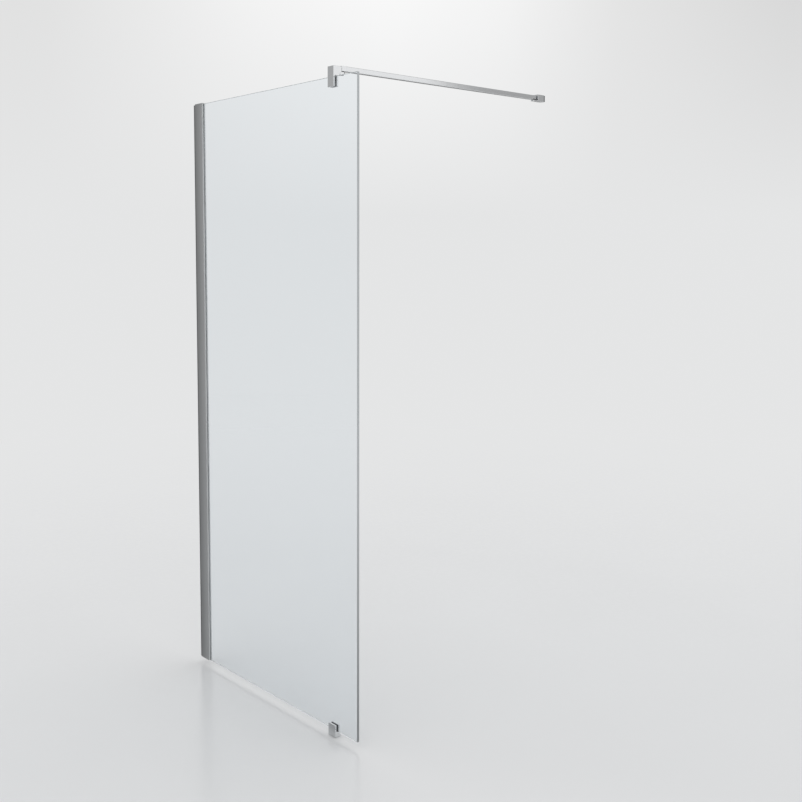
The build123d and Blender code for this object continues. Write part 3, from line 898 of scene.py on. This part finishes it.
def ring_bore(low, high):
    """The line of a washer's bore from its top down, with softened edges."""
    bore = SCREW_RADIUS + RUNNING_ROOM
    return [(bore + 0.1, high), (bore, high - 0.1), (bore, low + 0.1), (bore + 0.1, low)]


def lower_eye(pivot, reach, half_width, low, high):
    """A swivel's lower eye: a tongue with a bore and, from below, a recess for the head."""
    rings = tongue_rings(pivot, reach, half_width, EYE_RADIUS, rounded_rise(low, high, EYE_EDGE))
    bore = SCREW_RADIUS + RUNNING_ROOM
    recess = HEAD_RADIUS + 0.3
    line = [(bore + 0.3, high), (bore, high - 0.3), (bore, low + 2.3), (recess, low + 2.3),
            (recess, low + 0.3), (recess + 0.3, low)]
    return skin(rings + eye_bore(rings, pivot, line), closed=True)


def upper_eye(pivot, reach, tip_radius, low):
    """The fitting in one end of the bar: a tongue over the lower eye with a blind hole, a
    square shoulder against the tube, and a plug inside it."""
    way = math.copysign(1.0, reach - pivot)
    step = pivot + way * SHOULDER_REACH
    rise = rounded_rise(low, BAR_AXIS + BAR_HALF, EYE_EDGE)
    rings = tongue_rings(pivot, step, BAR_HALF, tip_radius, rise)
    hole = [(2.52, low + 8.3), (2.52, low + 0.3), (2.8, low)]
    tip = skin(eye_bore(rings, pivot, hole) + rings)
    square = rectangle((GRIP_Y, BAR_AXIS), (15, 15))
    low_x, high_x = sorted((step, reach))
    shoulder = skin(carried("X", square, 1.5, rounded_rise(low_x, high_x, 0.12)))
    plug_ends = sorted((reach - way * 0.5, reach + way * 22.0))
    plug = rectangle((GRIP_Y, BAR_AXIS), (12.4, 12.4))
    return [tip, shoulder, skin(carried("X", plug, 0.6, rounded_rise(*plug_ends, 0.5)))]


def swivel_bolt(pivot, head_floor, shank_top):
    """A shoulder screw put in from below: socket head, plain shoulder and thread."""
    middle = (pivot, GRIP_Y)
    rings = [
        hexagon("Z", middle, HEAD_RADIUS / 2, head_floor + SOCKET_DEPTH),
        hexagon("Z", middle, HEAD_RADIUS / 2, head_floor + SOCKET_EDGE),
    ]
    line = [(2.25, 0.0), (HEAD_RADIUS - 0.4, 0.0), (HEAD_RADIUS, 0.4), (HEAD_RADIUS, 2.0),
            (SCREW_RADIUS, 2.0)]
    rings += [circle("Z", middle, radius, head_floor + rise) for radius, rise in line]
    rings.append(circle("Z", middle, SCREW_RADIUS, shank_top - 8.0))
    rings += thread("Z", middle, SCREW_RADIUS, shank_top - 7.8, shank_top - 0.4)
    rings.append(circle("Z", middle, 1.7, shank_top))
    return skin(rings)


def washer(pivot, low, high, radius):
    """A flat ring with softened edges."""
    line = [(radius - 0.2, low), (radius, low + 0.2), (radius, high - 0.2), (radius - 0.2, high)]
    line += ring_bore(low, high)
    return skin([circle("Z", (pivot, GRIP_Y), size, height) for size, height in line], closed=True)


def spacer(pivot, reach, low, high):
    """A plastic spacer with the outline of the eyes that it lies between."""
    rise = rounded_rise(low, high, 0.2, steps=2)
    rings = tongue_rings(pivot, reach, BAR_HALF, EYE_RADIUS, rise, 0.2)
    return skin(rings + eye_bore(rings, pivot, ring_bore(low, high)), closed=True)


def add_gripper(name, node, corners, radii, half, apart, height, sides, edge, more=()):
    """A clamp or a foot: an outline carried along the glass, with two bores in its inner leg.

    sides gives the outline's side on each face of that leg, and where it starts.
    """
    heights = even_marks(height, SCREW_CELLS)
    (outer, outer_start), (inner, inner_start) = sides
    marks = {outer: heights - outer_start, inner: (inner_start - heights)[::-1]}
    places = [even_marks(GRIP_Y + way * apart, SCREW_CELLS) for way in (-1, 1)]
    rise = rounded_rise(GRIP_Y - half, GRIP_Y + half, edge, np.concatenate(places))
    rings = carried("Y", corners, radii, rise, marks)
    bores = [
        ((LEG_FACE, GRIP_Y + way * apart, height), (SLOT_FRONT, GRIP_Y + way * apart, height),
         SCREW_RADIUS + HOLE_ROOM, SCREW_CELLS) for way in (-1, 1)
    ]
    make_piece(name, [skin(rings, bores=bores), *more], [node])


def add_clamp():
    """The clamp: legs and head as one outline carried along the glass, and its lower eye."""
    corners = [
        (-LEG_FACE, CLAMP_BOTTOM), (SLOT_BACK, CLAMP_BOTTOM), (SLOT_BACK, CLAMP_SLOT_TOP),
        (SLOT_FRONT, CLAMP_SLOT_TOP), (SLOT_FRONT, CLAMP_BOTTOM), (LEG_FACE, CLAMP_BOTTOM),
        (LEG_FACE, 1956), (HEAD_FACE, 1964), (HEAD_FACE, CLAMP_TOP), (-LEG_FACE, CLAMP_TOP),
    ]
    radii = [1.0, 1.0, 0.4, 0.4, 1.0, 1.0, 0.8, 1.0, 1.0, 1.0]
    eye = lower_eye(GLASS_SWIVEL, LEG_FACE, EYE_RADIUS, 1956.0, GLASS_EYE_TOP)
    add_gripper("top_clamp", "clamp_body", corners, radii, CLAMP_HALF, CLAMP_SPREAD,
                CLAMP_SCREW_HEIGHT, ((5, CLAMP_BOTTOM), (3, CLAMP_SLOT_TOP)), 0.9, [eye])


def add_foot():
    """The foot: a U outline carried along the glass."""
    corners = [
        (-LEG_FACE, FOOT_BOTTOM), (LEG_FACE, FOOT_BOTTOM), (LEG_FACE, FOOT_TOP),
        (SLOT_FRONT, FOOT_TOP), (SLOT_FRONT, FOOT_SLOT_BOTTOM), (SLOT_BACK, FOOT_SLOT_BOTTOM),
        (SLOT_BACK, FOOT_TOP), (-LEG_FACE, FOOT_TOP),
    ]
    radii = [0.6, 0.6, 0.6, 0.6, 0.4, 0.4, 0.6, 0.6]
    add_gripper("floor_foot", "foot_body", corners, radii, FOOT_HALF, FOOT_SPREAD,
                FOOT_SCREW_HEIGHT, ((1, FOOT_BOTTOM), (3, FOOT_TOP)), 0.55)


def add_pads(name, half, leg, slot, finish):
    """The gasket in a slot, in three strips, and the plate that the set screws press on.

    leg holds the lowest and the highest point of the strips beside the glass, and slot those
    of the room between the slot's end and the edge of the glass.
    """
    span = rounded_rise(GRIP_Y - half, GRIP_Y + half, 0.15, steps=2)
    strips = {
        "outer_pad": ((SLOT_BACK, -GLASS_HALF - CONTACT), leg),
        "inner_pad": ((GLASS_HALF + CONTACT, PAD_FRONT), leg),
        "edge_pad": ((SLOT_BACK, SLOT_FRONT), (slot[0] + CONTACT, slot[1] - CONTACT)),
        "pressure_plate": ((PAD_FRONT + CONTACT, SLOT_FRONT - CONTACT), leg),
    }
    for part, (x, z) in strips.items():
        middle, size = (sum(x) / 2, sum(z) / 2), (x[1] - x[0], z[1] - z[0])
        rings = carried("Y", rectangle(middle, size), 0.2, span)
        kind = None if part == "pressure_plate" else FINISHES[finish]
        make_piece(f"{name}_{part}_strip", [skin(rings)], [f"{name}_{part}"], kind)


def add_bar():
    """The square tube, its two end fittings, and the swivels' washers and screws."""
    places = np.concatenate([even_marks(x, SMALL_SCREW_CELLS) for x in BAR_SCREWS])
    marks = {0: even_marks(BAR_HALF, SMALL_SCREW_CELLS)}
    inner_marks = {0: even_marks(BAR_HALF - BAR_WALL, SMALL_SCREW_CELLS)}
    outer = rectangle((GRIP_Y, BAR_AXIS), (15, 15))
    inner = rectangle((GRIP_Y, BAR_AXIS), (12.6, 12.6))
    rings = carried("X", outer, 1.5, rounded_rise(BAR_START, BAR_END, 0.12, places, 2), marks)
    back = [(0.0, x) for x in [BAR_END, *places[::-1], BAR_START]]
    rings += carried("X", inner, 0.3, back, inner_marks)
    bottom = BAR_AXIS - BAR_HALF
    bores = [
        ((x, GRIP_Y, bottom), (x, GRIP_Y, bottom + BAR_WALL),
         SMALL_SCREW_RADIUS + HOLE_ROOM, SMALL_SCREW_CELLS) for x in BAR_SCREWS
    ]
    make_piece("square_bar", [skin(rings, closed=True, bores=bores)], ["bar_tube"])
    glass_end = upper_eye(GLASS_SWIVEL, BAR_START, BAR_HALF, GLASS_EYE_FLOOR)
    make_piece("bar_fitting_glass", glass_end, ["bar_end_glass"])
    wall_end = upper_eye(WALL_SWIVEL, BAR_END, EYE_RADIUS, WALL_EYE_FLOOR)
    make_piece("bar_fitting_wall", wall_end, ["bar_end_wall"])
    round_washer = washer(GLASS_SWIVEL, GLASS_EYE_TOP, GLASS_EYE_FLOOR - RUNNING_ROOM, 6.0)
    make_piece("glass_washer", [round_washer], ["glass_swivel_washer"])
    long_spacer = spacer(WALL_SWIVEL, 864.0, WALL_EYE_TOP, WALL_EYE_FLOOR - RUNNING_ROOM)
    make_piece("wall_washer", [long_spacer], ["wall_swivel_washer"])
    glass_bolt = swivel_bolt(GLASS_SWIVEL, 1956.24, 1975.5)
    make_piece("glass_bolt", [glass_bolt], ["glass_swivel_screw"])
    wall_bolt = swivel_bolt(WALL_SWIVEL, 1963.74, 1978.25)
    make_piece("wall_bolt", [wall_bolt], ["wall_swivel_screw"])


def add_bracket():
    """The bracket: a hollow block that is open at the wall, its lower eye, and the base with
    a boss that fills the block and carries the countersunk hole."""
    front, back, floor = 864.0, 893.5, 880.0
    outer = rectangle((GRIP_Y, BAR_AXIS), (20, 23))
    inner = rectangle((GRIP_Y, BAR_AXIS), (14, 15))
    places = even_marks(BRACKET_SCREW, SMALL_SCREW_CELLS)
    rise = rounded_rise(front, back, 0.75, places)[:-4] + [(0.0, back - 0.2), (0.2, back)]
    rings = carried("X", outer, 1.5, rise, {0: even_marks(10, SMALL_SCREW_CELLS)})
    hollow = [(0.0, x) for x in [back, *places[::-1], floor]]
    rings += carried("X", inner, 0.4, hollow, {0: even_marks(7, SMALL_SCREW_CELLS)})
    bore = ((BRACKET_SCREW, GRIP_Y, BRACKET_BOTTOM), (BRACKET_SCREW, GRIP_Y, 1967.5),
            SMALL_SCREW_RADIUS + HOLE_ROOM, SMALL_SCREW_CELLS)
    eye = lower_eye(WALL_SWIVEL, 865.5, BAR_HALF, BRACKET_BOTTOM + CONTACT, WALL_EYE_TOP)
    make_piece("bracket_block", [skin(rings, bores=[bore]), eye], ["bracket_body"])
    boss = rectangle((GRIP_Y, BAR_AXIS), (13.6, 14.6))
    plate = rectangle((GRIP_Y, BAR_AXIS), (18, 21))
    boss_rise = [(0.3, 881), (0.0, 881.3), (0.0, back)]
    rings = carried("X", boss, 0.6, boss_rise, side_marks(13.6, 14.6))
    plate_rise = [(0.0, back), (0.0, WALL_FACE - 0.3), (0.3, WALL_FACE)]
    rings += carried("X", plate, 0.8, plate_rise, side_marks(18, 21))
    middle = (GRIP_Y, BAR_AXIS)
    line = [(2.25, WALL_FACE), (2.25, 883.25), (4.5, 881)]
    rings += [round_to(rings[0], middle, radius, x, "X") for radius, x in line]
    make_piece("bracket_foot", [skin(rings, closed=True)], ["bracket_base"])


add_camera()
dress_nodes()
add_glass()
add_profile()
add_lock_caps()
add_clamp()
add_pads("clamp", 13.7, (1920.4, GLASS_TOP), (GLASS_TOP, CLAMP_SLOT_TOP), "pale_pad")
add_foot()
add_pads("foot", 16.4, (0.0, 18.0), (FOOT_SLOT_BOTTOM, 0.0), "pad")
add_bar()
add_bracket()
add_set_screws()
add_floor()
add_world()
bpy.context.scene.view_settings.view_transform = "Standard"
